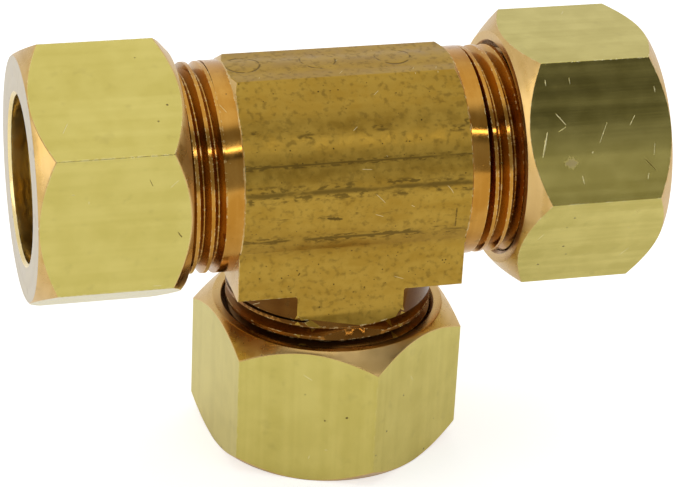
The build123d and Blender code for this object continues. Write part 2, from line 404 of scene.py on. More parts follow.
class Scratches(Effect):
    """Short straight scratches that lie in the surface, each its own way round."""

    title = "Scratches"
    takes = {
        "Point": None,
        "Facing": None,
        "Cells per mm": 0.4,
        "Share": 0.5,
        "Length": 0.9,
        "Width": 0.04,
    }
    end_taper = 0.4
    grey = (0.5, 0.5, 0.5)

    def draw(self, desk: Desk, given: dict[str, Socket]) -> dict[str, Socket]:
        """See Effect.draw.

        Args:
            desk: the group's desk.
            given: the group's inputs by name.

        Returns:
            The scratches' mask.
        """
        facing = given["Facing"]
        cell = desk.cells(given["Point"], given["Cells per mm"])
        colour = cell.outputs["Color"]
        offset = desk.vector("SUBTRACT", given["Point"], cell.outputs["Position"])
        lying = self.in_surface(desk, offset, facing)
        heading = self.in_surface(desk, desk.vector("SUBTRACT", colour, self.grey), facing)
        heading = desk.vector("NORMALIZE", heading)
        along = desk.vector("DOT_PRODUCT", lying, heading)
        aside = desk.vector("LENGTH", desk.vector("SUBTRACT", lying, desk.scaled(heading, along)))
        chosen, reach, _ = desk.split(colour)
        length = desk.times(given["Length"], reach)
        line = desk.within(aside, given["Width"])
        ends = desk.step(desk.within(along, length), 0.0, self.end_taper)
        shown = desk.math("LESS_THAN", chosen, given["Share"])
        return {"Mask": desk.times(desk.times(line, ends), shown)}

    @staticmethod
    def in_surface(desk: Desk, vector: Socket, facing: Socket) -> Socket:
        """Leave the part of a vector that lies in the surface.

        Args:
            desk: the group's desk.
            vector: the vector.
            facing: the surface's normal.

        Returns:
            The vector without its part along the normal.
        """
        out = desk.vector("DOT_PRODUCT", vector, facing)
        return desk.vector("SUBTRACT", vector, desk.scaled(facing, out))


class EdgeWear(Effect):
    """Rubbed and burred metal along the edges."""

    title = "Edge wear"
    takes = {"Point": None, "Reach": 0.0002, "Breakup": 2.0, "Threshold": 0.5}
    samples = 4
    least_turn = 0.01
    full_turn = 0.12
    softness = 0.12
    octaves = 5.0

    def draw(self, desk: Desk, given: dict[str, Socket]) -> dict[str, Socket]:
        """See Effect.draw.

        Args:
            desk: the group's desk.
            given: the group's inputs by name.

        Returns:
            The worn edges' mask.
        """
        rounded = desk.add("ShaderNodeBevel", samples=self.samples)
        desk.feed(rounded.inputs["Radius"], given["Reach"])
        plain = desk.add("ShaderNodeNewGeometry").outputs["Normal"]
        facing = desk.vector("DOT_PRODUCT", rounded.outputs["Normal"], plain)
        turned = desk.math("SUBTRACT", 1.0, facing)
        edge = desk.step(turned, self.least_turn, self.full_turn)
        broken = desk.noise(given["Point"], given["Breakup"], self.octaves)
        high = desk.math("ADD", given["Threshold"], self.softness)
        return {"Mask": desk.times(edge, desk.step(broken, given["Threshold"], high))}


class Recess(Effect):
    """Painted shade where little light reaches, found by ambient occlusion, with some tarnish
    where no cloth reaches.
    """

    title = "Recess shade and tarnish"
    takes = {"Point": None, "Reach": 0.002, "Openness": 0.8}
    samples = 6
    closed_level = 0.1
    uneven_per_mm = 1.5
    uneven_octaves = 5.0
    uneven_range = 0.8
    uneven_least = 0.5

    def draw(self, desk: Desk, given: dict[str, Socket]) -> dict[str, Socket]:
        """See Effect.draw.

        Args:
            desk: the group's desk.
            given: the group's inputs by name.

        Returns:
            The painted shade and tarnish mask.
        """
        # Closed-in places found by ambient occlusion take painted shade.
        shade = desk.add("ShaderNodeAmbientOcclusion", samples=self.samples)
        desk.feed(shade.inputs["Distance"], given["Reach"])
        closed = desk.step(shade.outputs["AO"], given["Openness"], self.closed_level)
        uneven = desk.noise(given["Point"], self.uneven_per_mm, self.uneven_octaves)
        uneven = desk.math("MULTIPLY_ADD", uneven, self.uneven_range, self.uneven_least)
        return {"Mask": desk.math("MULTIPLY", closed, uneven, clamp=True)}


class AxialLine(Effect):
    """A line along the run on the front of the body's skin, at one height."""

    title = "Line along the run"
    takes = {"Point": None, "Level": 0.0, "Width": 0.3, "Breakup": 0.5, "Threshold": 0.4}
    stretch = 0.45
    core_share = 0.35
    grit_per_mm = 3.2
    grit_levels = (0.40, 0.66)
    wander_per_mm = 0.25
    wander_octaves = 2.0
    wander_reach = 0.15
    octaves = 6.0
    softness = 0.2
    smudge_slope = 0.7
    full_strength = 0.9

    def draw(self, desk: Desk, given: dict[str, Socket]) -> dict[str, Socket]:
        """See Effect.draw.

        Args:
            desk: the group's desk.
            given: the group's inputs by name.

        Returns:
            The line's mask.
        """
        x, y, z = desk.split(given["Point"])
        wander = desk.noise(desk.join(0.0, 0.0, z), self.wander_per_mm, self.wander_octaves)
        wander = desk.math("SUBTRACT", wander, 0.5)
        level = desk.math("MULTIPLY_ADD", wander, self.wander_reach, given["Level"])
        aside = desk.math("ADD", y, level)
        place = desk.join(x, y, desk.times(z, self.stretch))
        broken = desk.noise(place, given["Breakup"], self.octaves)
        high = desk.math("ADD", given["Threshold"], self.softness)
        shown = desk.step(broken, given["Threshold"], high)
        core_width = desk.times(given["Width"], self.core_share)
        core = desk.times(desk.within(aside, core_width), shown)
        smudge = desk.step(desk.within(aside, given["Width"]), 0.0, self.smudge_slope)
        smudge = desk.times(smudge, shown)
        grit = desk.step(desk.noise(place, self.grit_per_mm, self.octaves), *self.grit_levels)
        line = desk.math("MAXIMUM", core, desk.times(smudge, grit))
        front = desk.math("GREATER_THAN", x, 0.0)
        line = desk.times(desk.step(line, 0.0, self.full_strength), shown)
        return {"Mask": desk.times(line, front)}


class SingleMark(Effect):
    """One straight mark between two points, soft at its sides."""

    title = "Single mark"
    takes = {"Point": None, "Start": None, "End": None, "Width": 0.1}
    taper = 0.6
    ragged_per_mm = 5.0
    ragged_octaves = 4.0
    ragged_range = 2.4
    ragged_least = -0.2
    softness = 0.8

    def draw(self, desk: Desk, given: dict[str, Socket]) -> dict[str, Socket]:
        """See Effect.draw.

        Args:
            desk: the group's desk.
            given: the group's inputs by name.

        Returns:
            The mark's mask.
        """
        span = desk.vector("SUBTRACT", given["End"], given["Start"])
        offset = desk.vector("SUBTRACT", given["Point"], given["Start"])
        length_squared = desk.vector("DOT_PRODUCT", span, span)
        along = desk.vector("DOT_PRODUCT", offset, span)
        share = desk.math("DIVIDE", along, length_squared, clamp=True)
        nearest = desk.scaled(span, share)
        aside = desk.vector("LENGTH", desk.vector("SUBTRACT", offset, nearest))
        from_middle = desk.math("ABSOLUTE", desk.math("MULTIPLY_ADD", share, 2.0, -1.0))
        ragged = desk.noise(given["Point"], self.ragged_per_mm, self.ragged_octaves)
        ragged = desk.math("MULTIPLY_ADD", ragged, self.ragged_range, self.ragged_least)
        taper = desk.math("MULTIPLY_ADD", desk.math("POWER", from_middle, 2.0), -self.taper, 1.0)
        width = desk.times(given["Width"], desk.times(ragged, taper))
        return {"Mask": desk.step(desk.within(aside, width), 0.0, self.softness)}


class StampedRing(Effect):
    """A plain shallow ring struck into a surface."""

    title = "Stamped ring"
    takes = {"Point": None, "Centre": None, "Radius": 1.8, "Width": 0.16}
    broken_per_mm = 1.3
    broken_octaves = 4.0
    broken_levels = (0.42, 0.58)

    def draw(self, desk: Desk, given: dict[str, Socket]) -> dict[str, Socket]:
        """See Effect.draw.

        Args:
            desk: the group's desk.
            given: the group's inputs by name.

        Returns:
            The ring's mask.
        """
        away = desk.vector("DISTANCE", given["Point"], given["Centre"])
        ring = desk.within(desk.math("SUBTRACT", away, given["Radius"]), given["Width"])
        broken = desk.noise(given["Point"], self.broken_per_mm, self.broken_octaves)
        broken = desk.step(broken, *self.broken_levels)
        return {"Mask": desk.times(ring, broken)}


# ---- finishes ----


class Grain(Enum):
    """How a surface was made, which sets the direction of its fine lines."""

    TURNED = "turned"
    DRAWN = "drawn"


@dataclass(frozen=True)
class Line:
    """A dark line along the body's run, by its height over the run axis.  Millimetres."""

    level: float
    width: float
    breakup: float
    threshold: float


class Tone(Enum):
    """What a single mark looks like."""

    BRIGHT = "bright"
    DARK = "dark"
    DUSTY = "dusty"


@dataclass(frozen=True)
class Mark:
    """One scratch, nick or smudge, by its two ends in port axes, in millimetres."""

    start: tuple[float, float, float]
    end: tuple[float, float, float]
    width: float
    tone: Tone


@dataclass(frozen=True)
class Layers:
    """What lies on a finish: two sorts of tool marks, then masks from 0 to 1."""

    fine: Socket
    tone: Socket
    patches: Socket
    pits: Socket
    scratches: Socket
    # Stains, lines, dark marks and painted recess shade, in one mask.
    stain_and_shade_mask: Socket
    dark: Socket
    dusty: Value
    struck: Value
    bright: Socket


@dataclass(frozen=True)
class BrassFinish:
    """One kind of brass surface.  Colours are linear, lengths millimetres."""

    name: str
    grain: Grain
    light: Colour
    deep: Colour
    # Colour of stains and pits, and of the painted shade in recesses.
    stain_and_shade_colour: Colour = (0.10, 0.055, 0.015)
    worn: Colour = (0.95, 0.86, 0.52)
    dust: Colour = (0.42, 0.33, 0.20)
    bright_roughness: float = 0.25
    roughness: float = 0.25
    unevenness: float = 0.08
    streak: float = 0.0
    # How much painted recess shade, with some tarnish, goes on.
    recess: float = 0.35
    recess_reach: float = 2.5
    lines_per_mm: float = 6.0
    stretch: float = 40.0
    relief: float = 0.0015
    patches_per_mm: float = 0.35
    stain_level: float = 0.68
    stain_share: float = 0.35
    pit_share: float = 0.1
    pit_size: float = 0.12
    pits_per_mm: float = 1.2
    scratch_share: float = 0.25
    scratch_width: float = 0.035
    wear_reach: float = 0.18
    wear_level: float = 0.5
    lines: tuple[Line, ...] = ()
    marks: tuple[Mark, ...] = ()
    rings: tuple[tuple[float, float, float], ...] = ()
    ring_radius: float = 1.75
    fade: tuple[float, float] = (0.0, 1.0)
    fade_roughness: float = 0.0
    patch_share: float = 0.55
    tone_share: float = 0.45
    tone_levels: tuple[float, float] = (0.35, 0.65)
    stain_offset: tuple[float, float, float] = (31.0, 17.0, 5.0)
    stain_fineness: float = 2.2
    stain_softness: float = 0.10
    line_cover: float = 0.62
    mark_cover: float = 0.75
    pit_cover: float = 0.85
    scratch_cover: float = 0.8
    dust_cover: float = 0.6
    stain_roughness: float = 0.25
    dust_roughness: float = 0.25
    pit_depth: float = 0.02
    scratch_depth: float = 0.008
    mark_depth: float = 0.02
    burr_height: float = 0.012

    def material(self, port: Port) -> bpy.types.Material:
        """The finish laid out along one port.

        Args:
            port: the port whose axis the lines follow or go round.

        Returns:
            The material, made the first time.
        """
        title = f"{self.name} {port.name.lower()}"
        found = bpy.data.materials.get(title)
        if found:
            return found
        material = bpy.data.materials.new(title)
        material.use_nodes = True
        material.node_tree.nodes.clear()
        self.wire(Desk(material.node_tree), port)
        return material

    def wire(self, desk: Desk, port: Port) -> None:
        """Draw the material's nodes.

        Args:
            desk: the material's desk.
            port: the port that sets the axes.
        """
        point, facing = self.axes(desk, port)
        layers = self.layers(desk, point, facing)
        bump = desk.add("ShaderNodeBump")
        bump.inputs["Strength"].default_value = 1.0
        bump.inputs["Distance"].default_value = MM
        desk.feed(bump.inputs["Height"], self.height(desk, layers))

        shader = desk.add("ShaderNodeBsdfPrincipled")
        desk.feed(shader.inputs["Base Color"], self.colour(desk, layers))
        desk.feed(shader.inputs["Roughness"], self.polish(desk, layers, point))
        desk.feed(shader.inputs["Normal"], bump.outputs["Normal"])
        shader.inputs["Metallic"].default_value = 1.0
        output = desk.add("ShaderNodeOutputMaterial")
        desk.feed(output.inputs["Surface"], shader.outputs["BSDF"])

    def layers(self, desk: Desk, point: Socket, facing: Socket) -> Layers:
        """Everything that lies on the finish.

        Args:
            desk: the material's desk.
            point: the place in port axes.
            facing: the normal in port axes.

        Returns:
            The tool marks and the masks.
        """
        fine, tone = self.tool_marks(desk, point)
        stains = Mottle().mask(
            desk,
            Point=desk.vector("ADD", point, self.stain_offset),
            Patches_per_mm=self.patches_per_mm * self.stain_fineness,
            Threshold=self.stain_level,
            Softness=self.stain_softness,
        )
        scratches = Scratches().mask(
            desk, Point=point, Facing=facing, Share=self.scratch_share, Width=self.scratch_width
        )
        wear = EdgeWear().mask(
            desk, Point=point, Reach=self.wear_reach * MM, Threshold=self.wear_level
        )
        # Painted shade in recesses from ambient occlusion, with some tarnish.
        shade_and_tarnish = Recess().mask(desk, Point=point, Reach=self.recess_reach * MM)
        struck = {kind: self.placed_marks(desk, point, kind) for kind in Tone}
        dark = desk.math("MAXIMUM", struck[Tone.DARK], self.placed_rings(desk, point))
        stain_and_shade_mask = desk.times(stains, self.stain_share)
        for cover in (
            self.run_lines(desk, point),
            desk.times(dark, self.mark_cover),
            desk.times(shade_and_tarnish, self.recess),
        ):
            stain_and_shade_mask = desk.math("MAXIMUM", stain_and_shade_mask, cover)
        bright = desk.math("MAXIMUM", desk.times(scratches, self.scratch_cover), wear)
        return Layers(
            fine=fine,
            tone=tone,
            patches=Mottle().mask(desk, Point=point, Patches_per_mm=self.patches_per_mm),
            pits=Pits().mask(
                desk,
                Point=point,
                Cells_per_mm=self.pits_per_mm,
                Share=self.pit_share,
                Size=self.pit_size * self.pits_per_mm,
            ),
            scratches=scratches,
            stain_and_shade_mask=stain_and_shade_mask,
            dark=dark,
            dusty=struck[Tone.DUSTY],
            struck=struck[Tone.BRIGHT],
            bright=desk.math("MAXIMUM", bright, struck[Tone.BRIGHT]),
        )

    def colour(self, desk: Desk, layers: Layers) -> Socket:
        """The colour of the metal and of what lies on it.

        Args:
            desk: the material's desk.
            layers: what lies on the finish.

        Returns:
            The colour.
        """
        tone = desk.times(desk.step(layers.tone, *self.tone_levels), self.tone_share)
        light = desk.math("ADD", desk.times(layers.patches, self.patch_share), tone)
        colour = desk.blend(light, opaque(self.deep), opaque(self.light))
        # The stain colour also paints the recess shade.
        for mask, cover in (
            (layers.stain_and_shade_mask, self.stain_and_shade_colour),
            (desk.times(layers.pits, self.pit_cover), self.stain_and_shade_colour),
            (desk.times(layers.dusty, self.dust_cover), self.dust),
            (layers.bright, self.worn),
        ):
            colour = desk.blend(mask, colour, opaque(cover))
        return colour

    def polish(self, desk: Desk, layers: Layers, point: Socket) -> Socket:
        """How rough the surface is.

        Args:
            desk: the material's desk.
            layers: what lies on the finish.
            point: the place in port axes.

        Returns:
            The roughness.
        """
        patches = desk.math("SUBTRACT", layers.patches, 0.5)
        rough = desk.math("MULTIPLY_ADD", patches, self.unevenness, self.roughness)
        tone = desk.math("SUBTRACT", layers.tone, 0.5)
        rough = desk.math("MULTIPLY_ADD", tone, self.streak, rough)
        rough = desk.math("MULTIPLY_ADD", layers.stain_and_shade_mask, self.stain_roughness, rough)
        if self.fade_roughness:
            faded = desk.step(desk.split(point)[1], *self.fade)
            rough = desk.math("MULTIPLY_ADD", faded, self.fade_roughness, rough)
        rough = desk.math("MULTIPLY_ADD", layers.dusty, self.dust_roughness, rough)
        return desk.math("MULTIPLY_ADD", layers.bright, self.bright_roughness, rough, clamp=True)

    def height(self, desk: Desk, layers: Layers) -> Socket:
        """How high the surface stands, in millimetres.

        Args:
            desk: the material's desk.
            layers: what lies on the finish.

        Returns:
            The height.
        """
        height = desk.times(layers.fine, self.relief)
        for mask, rise in (
            (layers.pits, -self.pit_depth),
            (layers.scratches, -self.scratch_depth),
            (layers.struck, self.burr_height),
            (layers.dark, -self.mark_depth),
        ):
            height = desk.math("MULTIPLY_ADD", mask, rise, height)
        return height

    @staticmethod
    def axes(desk: Desk, port: Port) -> tuple[Socket, Socket]:
        """The place and normal in port axes.

        Args:
            desk: the material's desk.
            port: the port that sets the axes.

        Returns:
            The place in millimetres, and the surface's normal.
        """
        source = desk.add("ShaderNodeTexCoord")
        turn = port.turn().to_euler("XYZ")
        place = desk.add("ShaderNodeMapping", vector_type="TEXTURE")
        place.inputs["Location"].default_value = CENTRE
        place.inputs["Rotation"].default_value = turn
        place.inputs["Scale"].default_value = (MM, MM, MM)
        desk.feed(place.inputs["Vector"], source.outputs["Object"])
        facing = desk.add("ShaderNodeMapping", vector_type="TEXTURE")
        facing.inputs["Rotation"].default_value = turn
        desk.feed(facing.inputs["Vector"], source.outputs["Normal"])
        return place.outputs["Vector"], facing.outputs["Vector"]

    def tool_marks(self, desk: Desk, point: Socket) -> tuple[Socket, Socket]:
        """The tool marks of this finish.

        Args:
            desk: the material's desk.
            point: the place in port axes.

        Returns:
            The fine marks, and the broad tone.
        """
        if self.grain is Grain.TURNED:
            made = TurnedRings().place(desk, Point=point, Rings_per_mm=self.lines_per_mm)
        else:
            made = DrawnGrain().place(
                desk, Point=point, Lines_per_mm=self.lines_per_mm, Stretch=self.stretch
            )
        return made["Height"], made["Tone"]

    def run_lines(self, desk: Desk, point: Socket) -> Value:
        """The mask of the dark lines along the run, or 0 where the finish has none."""
        made = [
            AxialLine().mask(
                desk,
                Point=point,
                Level=line.level,
                Width=line.width,
                Breakup=line.breakup,
                Threshold=line.threshold,
            )
            for line in self.lines
        ]
        return self.strongest(desk, [desk.times(mask, self.line_cover) for mask in made])

    @staticmethod
    def strongest(desk: Desk, masks: list[Socket]) -> Value:
        """The strongest of several masks.

        Args:
            desk: the material's desk.
            masks: the masks.

        Returns:
            Their mask together, or 0 where there is none.
        """
        together: Value = 0.0
        for mask in masks:
            together = desk.math("MAXIMUM", together, mask)
        return together

    def placed_marks(self, desk: Desk, point: Socket, tone: Tone) -> Value:
        """The mask of the single marks of one tone, or 0 where there is none."""
        return self.strongest(desk, [
            SingleMark().mask(desk, Point=point, Start=mark.start, End=mark.end, Width=mark.width)
            for mark in self.marks if mark.tone is tone
        ])

    def placed_rings(self, desk: Desk, point: Socket) -> Value:
        """The mask of the stamped rings, or 0 where there is none."""
        return self.strongest(desk, [
            StampedRing().mask(desk, Point=point, Centre=centre, Radius=self.ring_radius)
            for centre in self.rings
        ])


NUT_FLAT = BrassFinish(
    "Drawn hexagon", Grain.DRAWN, light=(0.66, 0.56, 0.165), deep=(0.58, 0.485, 0.125),
    roughness=0.19, unevenness=0.04, lines_per_mm=4.0, relief=0.0009, stain_share=0.10,
    pit_share=0.04, scratch_share=0.06,
)
RIGHT_NUT_FLAT = replace(
    NUT_FLAT, name="Drawn hexagon, scratched", roughness=0.13, unevenness=0.01, streak=0.10,
    relief=0.0010, deep=(0.54, 0.45, 0.11), scratch_share=0.04, fade=(-7.5, -2.0),
    fade_roughness=0.11,
    marks=(
        Mark((10.23, -6.1, 18.31), (11.4, -4.05, 17.64), 0.10, Tone.BRIGHT),
        Mark((9.38, -7.59, 19.32), (9.93, -6.62, 20.23), 0.06, Tone.BRIGHT),
        Mark((9.94, -6.6, 24.4), (10.87, -4.97, 23.51), 0.04, Tone.BRIGHT),
        Mark((11.3, -4.22, 22.67), (11.33, -4.16, 22.71), 0.12, Tone.BRIGHT),
        Mark((11.08, -4.6, 29.11), (11.65, -3.6, 28.9), 0.04, Tone.BRIGHT),
        Mark((12.41, -2.28, 21.45), (12.79, -1.6, 21.58), 0.07, Tone.BRIGHT),
        Mark((12.5, -2.12, 28.22), (12.78, -1.63, 28.07), 0.05, Tone.BRIGHT),
        Mark((7.73, -10.48, 18.52), (8.02, -9.98, 18.56), 0.05, Tone.BRIGHT),
        Mark((7.7, -10.52, 20.95), (7.99, -10.02, 21.0), 0.04, Tone.BRIGHT),
        Mark((9.68, -7.07, 27.31), (10.14, -6.26, 26.72), 0.04, Tone.BRIGHT),
        Mark((8.35, -9.4, 29.52), (8.64, -8.89, 29.57), 0.06, Tone.BRIGHT),
        Mark((11.81, -3.32, 27.94), (12.38, -2.33, 28.96), 0.09, Tone.DARK),
        Mark((11.75, -3.4, 20.0), (11.75, -3.4, 20.9), 0.75, Tone.DUSTY),
    ),
)
LEFT_NUT_FLAT = replace(
    NUT_FLAT, name="Drawn hexagon, clean", wear_reach=0.30, wear_level=0.44,
    marks=(
        Mark((11.93, -0.74, 17.92), (11.94, -1.29, 17.53), 0.10, Tone.DARK),
        Mark((11.79, 4.78, 20.6), (11.81, 4.15, 20.32), 0.05, Tone.DARK),
    ),
)
NUT_CHAMFER = BrassFinish(
    "Turned chamfer", Grain.TURNED, light=(0.74, 0.50, 0.20), deep=(0.60, 0.38, 0.12),
    roughness=0.28, lines_per_mm=5.0, relief=0.002, stain_share=0.12, pit_share=0.03,
    scratch_share=0.08,
)
NUT_FACE = BrassFinish(
    "Faced end", Grain.TURNED, light=(0.66, 0.58, 0.44), deep=(0.56, 0.47, 0.33),
    roughness=0.34, lines_per_mm=5.0, relief=0.0025, stain_share=0.2, pit_share=0.1,
    scratch_share=0.1,
)
# Bore colour raised above the other brass: painted light in place of light bounced down the bore.
BRIGHTENED_BORE = BrassFinish(
    "Bored brass, painted bounce light", Grain.TURNED, light=(0.93, 0.76, 0.38), deep=(0.80, 0.61, 0.26),
    roughness=0.20, lines_per_mm=4.0, relief=0.002, stain_share=0.2, pit_share=0.03,
    scratch_share=0.05, recess=0.0,
)
THREAD = BrassFinish(
    "Cut thread", Grain.TURNED, light=(0.64, 0.34, 0.070), deep=(0.48, 0.215, 0.028),
    worn=(0.90, 0.72, 0.36), roughness=0.14, lines_per_mm=5.0, relief=0.0012, stain_share=0.45,
    pit_share=0.08, scratch_share=0.08, recess=0.55,
)
# Darker copy of the thread with deep recess darkening: painted shade under the leg.
SHADED_BRANCH_THREAD = replace(
    THREAD, name="Cut thread under the leg, painted shade", recess=0.85, recess_reach=7.0,
    light=(0.34, 0.15, 0.028), deep=(0.22, 0.085, 0.012), roughness=0.22,
)
# Still darker copy of the thread for the land: painted shade under the leg.
SHADED_BRANCH_LAND = replace(
    THREAD, name="Land under the leg, painted shade", recess=0.85, recess_reach=7.0,
    light=(0.16, 0.068, 0.012), deep=(0.10, 0.036, 0.006), roughness=0.22, wear_level=0.62,
)
SKIN = BrassFinish(
    "Extruded skin", Grain.DRAWN, light=(0.50, 0.315, 0.052), deep=(0.385, 0.225, 0.030),
    stain_and_shade_colour=(0.06, 0.038, 0.012), roughness=0.38, unevenness=0.12, lines_per_mm=3.0, stretch=5.0,
    relief=0.007, patches_per_mm=0.8, stain_share=0.30, stain_level=0.60,
    pit_share=0.30, pit_size=0.075, pits_per_mm=1.7, scratch_share=0.12, recess=0.15,
    lines=(
        Line(4.12, 0.45, 0.6, 0.20),
        Line(1.50, 1.35, 0.6, 0.34),
        Line(-1.10, 0.40, 0.7, 0.42),
        Line(-3.70, 0.75, 0.7, 0.32),
        Line(6.55, 0.70, 0.8, 0.42),
    ),
    marks=(
        Mark((10.38, 1.21, 9.7), (9.88, 3.41, 9.8), 0.14, Tone.DARK),
        Mark((10.37, 1.31, -3.1), (10.37, 1.5, -1.7), 0.30, Tone.DARK),
        Mark((8.87, 7.76, -5.23), (8.87, 8.07, -5.42), 0.10, Tone.DARK),
        Mark((8.87, 6.7, -8.63), (8.87, 6.8, -8.6), 0.12, Tone.DARK),
        Mark((8.87, 6.55, 3.51), (8.87, 6.65, 3.5), 0.12, Tone.DARK),
    ),
    rings=((-0.3, -10.3, -9.5), (-0.3, -10.3, -2.0), (-0.3, -10.3, 5.5)),
)
WORN_EDGE = BrassFinish(
    "Worn edge", Grain.DRAWN, light=(0.80, 0.68, 0.28), deep=(0.60, 0.48, 0.15),
    roughness=0.22, lines_per_mm=3.0, relief=0.002, wear_level=0.46, scratch_share=0.0,
)


# ---- pieces ----


def select_only(obj: bpy.types.Object) -> None:
    """Select one object and make it active.

    Args:
        obj: the object.
    """
    bpy.ops.object.select_all(action="DESELECT")
    obj.select_set(True)
    bpy.context.view_layer.objects.active = obj


@dataclass
class BrassPiece:
    """A brass piece shaped from its node's own surfaces, with its edges broken."""

    node: str
    port: Port
    body: str
    edge_break: float = 0.12 * MM
    edge_segments: int = 3
    sharp_turn: float = radians(18)
    smooth_turn: float = radians(35)
    merge: float = 0.001 * MM

    def build(self) -> bpy.types.Object:
        """Make the piece, dress it and put it on its body.

        Returns:
            The finished object.
        """
        obj = self.copied()
        self.break_edges(obj)
        self.dress(obj)
        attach(obj, self.body)
        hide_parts(self.node)
        LOG.info("%s: %d faces on %s", obj.name, len(obj.data.polygons), self.body)
        return obj

    def copied(self) -> bpy.types.Object:
        """A merged copy of the node's mesh.

        Returns:
            The new object, at the origin.
        """
        bpy.ops.object.select_all(action="DESELECT")
        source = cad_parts[self.node]
        obj = source.copy()
        obj.data = source.data.copy()
        for key in list(obj.keys()):
            if key.startswith("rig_"):
                del obj[key]
        obj.name = f"{self.node}_brass"
        obj.parent = None
        bpy.context.scene.collection.objects.link(obj)
        obj.data.materials.clear()
        select_only(obj)
        bpy.ops.object.mode_set(mode="EDIT")
        bpy.ops.mesh.customdata_custom_splitnormals_clear()
        bpy.ops.mesh.select_all(action="SELECT")
        bpy.ops.mesh.remove_doubles(threshold=self.merge)
        bpy.ops.mesh.normals_make_consistent(inside=False)
        bpy.ops.object.mode_set(mode="OBJECT")
        return obj

    def is_broken(self, middle: Vector) -> bool:
        """Whether an edge with this middle is broken."""
        raise NotImplementedError

    def finish_of(self, middle: Vector, facing: Vector) -> tuple[BrassFinish, Port]:
        """The finish of a face with this middle and normal."""
        raise NotImplementedError

    def break_edges(self, obj: bpy.types.Object) -> None:
        """Round the outer edges, then smooth the rest.

        Args:
            obj: the merged copy.
        """
        select_only(obj)
        bpy.ops.object.mode_set(mode="EDIT")
        bpy.ops.mesh.select_mode(type="EDGE")
        bpy.ops.mesh.select_all(action="DESELECT")
        mesh = bmesh.from_edit_mesh(obj.data)
        chosen = 0
        for edge in mesh.edges:
            if len(edge.link_faces) != 2 or edge.calc_face_angle(0.0) < self.sharp_turn:
                continue
            middle = (edge.verts[0].co + edge.verts[1].co) / 2
            if self.is_broken(middle):
                edge.select_set(True)
                chosen += 1
        bmesh.update_edit_mesh(obj.data)
        bpy.ops.mesh.bevel(
            offset=self.edge_break, segments=self.edge_segments, affect="EDGES", clamp_overlap=True
        )
        bpy.ops.object.mode_set(mode="OBJECT")
        LOG.info("%s: %d edges broken", obj.name, chosen)
        bpy.ops.object.shade_smooth_by_angle(angle=self.smooth_turn)
        weighting = obj.modifiers.new("Even shading", "WEIGHTED_NORMAL")
        weighting.keep_sharp = True
        bpy.ops.object.modifier_apply(modifier=weighting.name)

    def dress(self, obj: bpy.types.Object) -> None:
        """Give every face its finish.

        Args:
            obj: the finished shape.
        """
        slots: dict[tuple[str, str], int] = {}
        for face in obj.data.polygons:
            finish, port = self.finish_of(Vector(face.center), Vector(face.normal))
            key = (finish.name, port.name)
            if key not in slots:
                obj.data.materials.append(finish.material(port))
                slots[key] = len(slots)
            face.material_index = slots[key]


@dataclass
class HexNut(BrassPiece):
    """A hexagon nut: drawn flats, turned chamfers and ends, threaded bore."""

    threaded_end: float = 16.297 * MM
    length: float = 14.673 * MM
    outside: float = 11.0 * MM
    bore_edge: float = 10.62 * MM
    hole_edge: float = 8.3 * MM
    end_reach: float = 0.5 * MM
    face_reach: float = 0.2 * MM
    flat_slope: float = 0.12
    cone_slope: float = 0.93
    square_on: float = 0.80
    flat_finish: BrassFinish = NUT_FLAT

    @property
    def outer_end(self) -> float:
        """Distance of the outer face from the tee's centre."""
        return self.threaded_end + self.length

    def is_broken(self, middle: Vector) -> bool:
        """Whether an edge is outside the thread."""
        radius = self.port.radius(middle)
        at_end = self.port.distance(middle) > self.outer_end - self.end_reach
        return radius > self.bore_edge or (at_end and radius > self.hole_edge)

    def finish_of(self, middle: Vector, facing: Vector) -> tuple[BrassFinish, Port]:
        """The finish of a face.

        Args:
            middle: the face's middle.
            facing: its normal.

        Returns:
            The finish and the port it follows.
        """
        lean = abs(facing.dot(self.port.outward))
        outside = self.port.radius(middle) > self.outside
        if outside and lean < self.flat_slope:
            flat = facing.dot(self.port.away(middle)) > self.square_on
            return (self.flat_finish if flat else WORN_EDGE), self.port
        outer = self.port.distance(middle) > self.outer_end - self.face_reach
        if lean > self.cone_slope and outer:
            return NUT_FACE, self.port
        if outside or lean > self.cone_slope:
            return NUT_CHAMFER, self.port
        threaded = self.port.distance(middle) < self.threaded_end + self.length / 2
        # The unthreaded bore takes the brightened bore finish: painted bounce light.
        return (THREAD if threaded else BRIGHTENED_BORE), self.port


